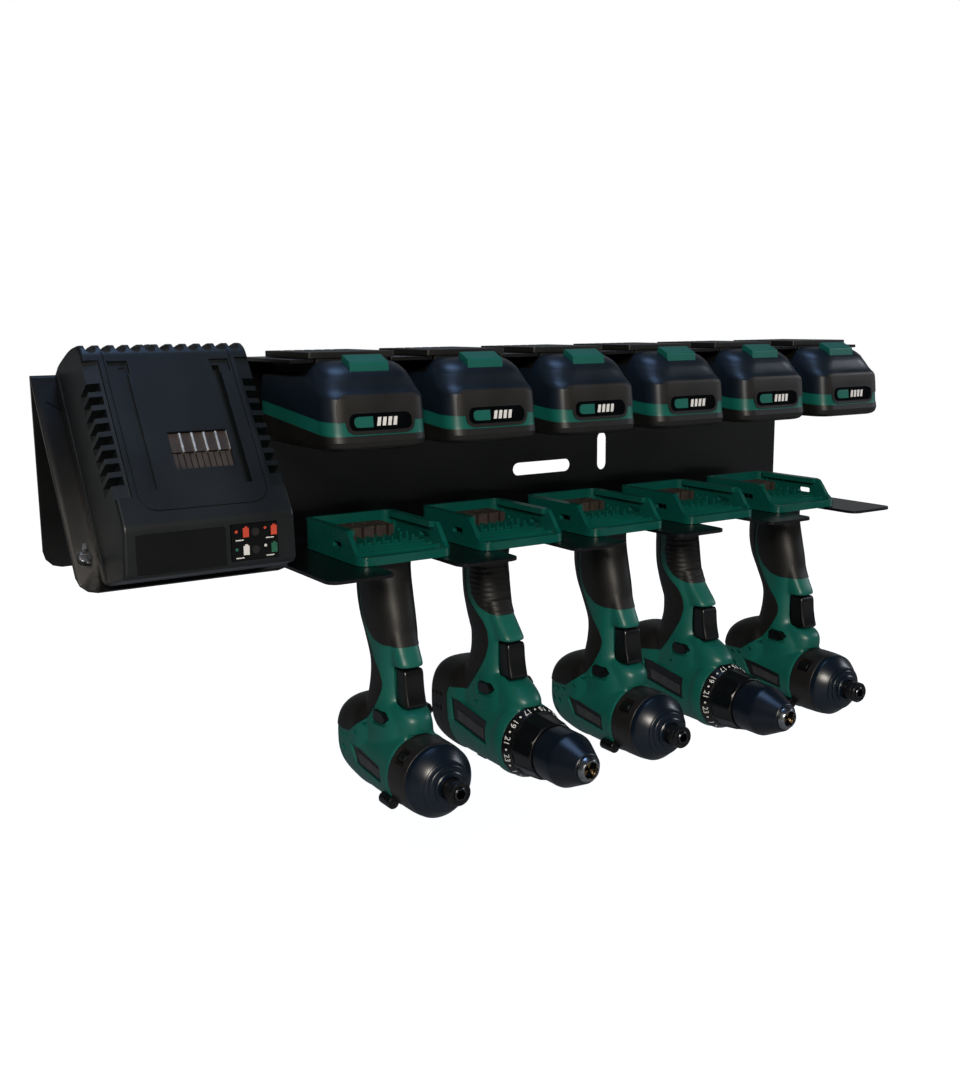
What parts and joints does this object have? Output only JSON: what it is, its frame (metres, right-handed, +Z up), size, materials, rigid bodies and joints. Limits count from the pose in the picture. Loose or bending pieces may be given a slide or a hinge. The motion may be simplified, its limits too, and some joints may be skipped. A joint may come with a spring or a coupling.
{
  "type": "drill charging station",
  "caption": "Steel wall rack: a battery charger leaning on an easel bracket, a forked shelf of slide battery packs and a forked shelf of cordless drills and impact drivers hung upside down.",
  "frame": {"origin": "on the wall face of the rack's panel, at the middle of its width and midway between its two wall screws", "axes": "+Z up, +Y into the wall, +X to the right as seen by someone facing the wall"},
  "size_m": [0.7061, 0.1996, 0.3377],
  "materials": {
    "powder_coat": "black powder coat, fine texture",
    "zinc": "zinc plate, satin",
    "charger_black": "spark-textured black",
    "contact_brown": "grey-brown, satin",
    "lamp_window": "smoked, glossy",
    "gland_rubber": "black, matte",
    "pack_black": "satin black",
    "green_abs": "teal green, satin",
    "trigger_black": "black, satin",
    "nose_dark": "dark coat, satin",
    "bright_steel": "bright, turned",
    "chuck_black": "blue-black, semi-gloss"
  },
  "bodies": {
    "rack": {"rack_panel": "powder_coat", "charger_easel": "powder_coat", "charger_base": "charger_black", "charger_case": "charger_black", "charger_contacts": "contact_brown", "charger_gland": "gland_rubber", "charger_lamps": "lamp_window", "wall_screw_left": "zinc", "wall_screw_right": "zinc", "easel_screw": "zinc", "wing_nut_left": "zinc", "wing_nut_right": "zinc"},
    "battery_1": {"battery_1_case": "pack_black"},
    "battery_1_latch": {"battery_1_latch": "green_abs"},
    "battery_2": {"battery_2_case": "pack_black"},
    "battery_2_latch": {"battery_2_latch": "green_abs"},
    "battery_3": {"battery_3_case": "pack_black"},
    "battery_3_latch": {"battery_3_latch": "green_abs"},
    "battery_4": {"battery_4_case": "pack_black"},
    "battery_4_latch": {"battery_4_latch": "green_abs"},
    "battery_5": {"battery_5_case": "pack_black"},
    "battery_5_latch": {"battery_5_latch": "green_abs"},
    "battery_6": {"battery_6_case": "pack_black"},
    "battery_6_latch": {"battery_6_latch": "green_abs"},
    "impact_1": {"impact_1_housing": "green_abs", "impact_1_terminal": "contact_brown", "impact_1_nose_case": "nose_dark"},
    "impact_1_trigger": {"impact_1_trigger": "trigger_black"},
    "impact_1_selector": {"impact_1_selector": "trigger_black"},
    "impact_1_anvil": {"impact_1_anvil": "bright_steel"},
    "impact_1_collet_sleeve": {"impact_1_collet_sleeve": "trigger_black"},
    "drill_2": {"drill_2_housing": "green_abs", "drill_2_terminal": "contact_brown"},
    "drill_2_trigger": {"drill_2_trigger": "trigger_black"},
    "drill_2_selector": {"drill_2_selector": "trigger_black"},
    "drill_2_torque_collar": {"drill_2_torque_collar": "trigger_black"},
    "drill_2_chuck": {"drill_2_chuck": "chuck_black"},
    "drill_2_speed_switch": {"drill_2_speed_switch": "trigger_black"},
    "impact_3": {"impact_3_housing": "green_abs", "impact_3_terminal": "contact_brown", "impact_3_nose_case": "nose_dark"},
    "impact_3_trigger": {"impact_3_trigger": "trigger_black"},
    "impact_3_selector": {"impact_3_selector": "trigger_black"},
    "impact_3_anvil": {"impact_3_anvil": "bright_steel"},
    "impact_3_collet_sleeve": {"impact_3_collet_sleeve": "trigger_black"},
    "drill_4": {"drill_4_housing": "green_abs", "drill_4_terminal": "contact_brown"},
    "drill_4_trigger": {"drill_4_trigger": "trigger_black"},
    "drill_4_selector": {"drill_4_selector": "trigger_black"},
    "drill_4_torque_collar": {"drill_4_torque_collar": "trigger_black"},
    "drill_4_chuck": {"drill_4_chuck": "chuck_black"},
    "drill_4_speed_switch": {"drill_4_speed_switch": "trigger_black"},
    "impact_5": {"impact_5_housing": "green_abs", "impact_5_terminal": "contact_brown", "impact_5_nose_case": "nose_dark"},
    "impact_5_trigger": {"impact_5_trigger": "trigger_black"},
    "impact_5_selector": {"impact_5_selector": "trigger_black"},
    "impact_5_anvil": {"impact_5_anvil": "bright_steel"},
    "impact_5_collet_sleeve": {"impact_5_collet_sleeve": "trigger_black"}
  },
  "joints": [
    {"name": "battery_1_slide", "type": "slide", "parent": "rack", "child": "battery_1", "axis": [0, -1, 0], "range_m": [0, 0.105]},
    {"name": "battery_1_latch_press", "type": "slide", "parent": "battery_1", "child": "battery_1_latch", "axis": [0, 0, -1], "range_m": [0, 0.003], "stiffness_N_per_m": 1500},
    {"name": "battery_2_slide", "type": "slide", "parent": "rack", "child": "battery_2", "axis": [0, -1, 0], "range_m": [0, 0.105]},
    {"name": "battery_2_latch_press", "type": "slide", "parent": "battery_2", "child": "battery_2_latch", "axis": [0, 0, -1], "range_m": [0, 0.003], "stiffness_N_per_m": 1500},
    {"name": "battery_3_slide", "type": "slide", "parent": "rack", "child": "battery_3", "axis": [0, -1, 0], "range_m": [0, 0.105]},
    {"name": "battery_3_latch_press", "type": "slide", "parent": "battery_3", "child": "battery_3_latch", "axis": [0, 0, -1], "range_m": [0, 0.003], "stiffness_N_per_m": 1500},
    {"name": "battery_4_slide", "type": "slide", "parent": "rack", "child": "battery_4", "axis": [0, -1, 0], "range_m": [0, 0.105]},
    {"name": "battery_4_latch_press", "type": "slide", "parent": "battery_4", "child": "battery_4_latch", "axis": [0, 0, -1], "range_m": [0, 0.003], "stiffness_N_per_m": 1500},
    {"name": "battery_5_slide", "type": "slide", "parent": "rack", "child": "battery_5", "axis": [0, -1, 0], "range_m": [0, 0.105]},
    {"name": "battery_5_latch_press", "type": "slide", "parent": "battery_5", "child": "battery_5_latch", "axis": [0, 0, -1], "range_m": [0, 0.003], "stiffness_N_per_m": 1500},
    {"name": "battery_6_slide", "type": "slide", "parent": "rack", "child": "battery_6", "axis": [0, -1, 0], "range_m": [0, 0.105]},
    {"name": "battery_6_latch_press", "type": "slide", "parent": "battery_6", "child": "battery_6_latch", "axis": [0, 0, -1], "range_m": [0, 0.003], "stiffness_N_per_m": 1500},
    {"name": "impact_1_slide", "type": "slide", "parent": "rack", "child": "impact_1", "axis": [0, -1, 0], "range_m": [0, 0.135]},
    {"name": "impact_1_trigger_press", "type": "slide", "parent": "impact_1", "child": "impact_1_trigger", "axis": [0, 1, 0], "range_m": [0, 0.006], "stiffness_N_per_m": 800},
    {"name": "impact_1_selector_shift", "type": "slide", "parent": "impact_1", "child": "impact_1_selector", "axis": [1, 0, 0], "range_m": [-0.003, 0.003]},
    {"name": "impact_1_anvil_spin", "type": "hinge", "parent": "impact_1", "child": "impact_1_anvil", "pos_m": [-0.2032, -0.17, -0.252], "axis": [0, -1, 0], "continuous": true},
    {"name": "impact_1_sleeve_pull", "type": "slide", "parent": "impact_1_anvil", "child": "impact_1_collet_sleeve", "axis": [0, -1, 0], "range_m": [0, 0.003], "stiffness_N_per_m": 1000},
    {"name": "drill_2_slide", "type": "slide", "parent": "rack", "child": "drill_2", "axis": [0, -1, 0], "range_m": [0, 0.135]},
    {"name": "drill_2_trigger_press", "type": "slide", "parent": "drill_2", "child": "drill_2_trigger", "axis": [0, 1, 0], "range_m": [0, 0.006], "stiffness_N_per_m": 800},
    {"name": "drill_2_selector_shift", "type": "slide", "parent": "drill_2", "child": "drill_2_selector", "axis": [1, 0, 0], "range_m": [-0.003, 0.003]},
    {"name": "drill_2_collar_turn", "type": "hinge", "parent": "drill_2", "child": "drill_2_torque_collar", "pos_m": [-0.1016, -0.145, -0.252], "axis": [0, -1, 0], "range_deg": [-150, 150]},
    {"name": "drill_2_chuck_spin", "type": "hinge", "parent": "drill_2", "child": "drill_2_chuck", "pos_m": [-0.1016, -0.18, -0.252], "axis": [0, -1, 0], "continuous": true},
    {"name": "drill_2_speed_shift", "type": "slide", "parent": "drill_2", "child": "drill_2_speed_switch", "axis": [0, -1, 0], "range_m": [0, 0.008]},
    {"name": "impact_3_slide", "type": "slide", "parent": "rack", "child": "impact_3", "axis": [0, -1, 0], "range_m": [0, 0.135]},
    {"name": "impact_3_trigger_press", "type": "slide", "parent": "impact_3", "child": "impact_3_trigger", "axis": [0, 1, 0], "range_m": [0, 0.006], "stiffness_N_per_m": 800},
    {"name": "impact_3_selector_shift", "type": "slide", "parent": "impact_3", "child": "impact_3_selector", "axis": [1, 0, 0], "range_m": [-0.003, 0.003]},
    {"name": "impact_3_anvil_spin", "type": "hinge", "parent": "impact_3", "child": "impact_3_anvil", "pos_m": [0, -0.17, -0.252], "axis": [0, -1, 0], "continuous": true},
    {"name": "impact_3_sleeve_pull", "type": "slide", "parent": "impact_3_anvil", "child": "impact_3_collet_sleeve", "axis": [0, -1, 0], "range_m": [0, 0.003], "stiffness_N_per_m": 1000},
    {"name": "drill_4_slide", "type": "slide", "parent": "rack", "child": "drill_4", "axis": [0, -1, 0], "range_m": [0, 0.135]},
    {"name": "drill_4_trigger_press", "type": "slide", "parent": "drill_4", "child": "drill_4_trigger", "axis": [0, 1, 0], "range_m": [0, 0.006], "stiffness_N_per_m": 800},
    {"name": "drill_4_selector_shift", "type": "slide", "parent": "drill_4", "child": "drill_4_selector", "axis": [1, 0, 0], "range_m": [-0.003, 0.003]},
    {"name": "drill_4_collar_turn", "type": "hinge", "parent": "drill_4", "child": "drill_4_torque_collar", "pos_m": [0.1016, -0.145, -0.252], "axis": [0, -1, 0], "range_deg": [-150, 150]},
    {"name": "drill_4_chuck_spin", "type": "hinge", "parent": "drill_4", "child": "drill_4_chuck", "pos_m": [0.1016, -0.18, -0.252], "axis": [0, -1, 0], "continuous": true},
    {"name": "drill_4_speed_shift", "type": "slide", "parent": "drill_4", "child": "drill_4_speed_switch", "axis": [0, -1, 0], "range_m": [0, 0.008]},
    {"name": "impact_5_slide", "type": "slide", "parent": "rack", "child": "impact_5", "axis": [0, -1, 0], "range_m": [0, 0.135]},
    {"name": "impact_5_trigger_press", "type": "slide", "parent": "impact_5", "child": "impact_5_trigger", "axis": [0, 1, 0], "range_m": [0, 0.006], "stiffness_N_per_m": 800},
    {"name": "impact_5_selector_shift", "type": "slide", "parent": "impact_5", "child": "impact_5_selector", "axis": [1, 0, 0], "range_m": [-0.003, 0.003]},
    {"name": "impact_5_anvil_spin", "type": "hinge", "parent": "impact_5", "child": "impact_5_anvil", "pos_m": [0.2032, -0.17, -0.252], "axis": [0, -1, 0], "continuous": true},
    {"name": "impact_5_sleeve_pull", "type": "slide", "parent": "impact_5_anvil", "child": "impact_5_collet_sleeve", "axis": [0, -1, 0], "range_m": [0, 0.003], "stiffness_N_per_m": 1000}
  ]
}
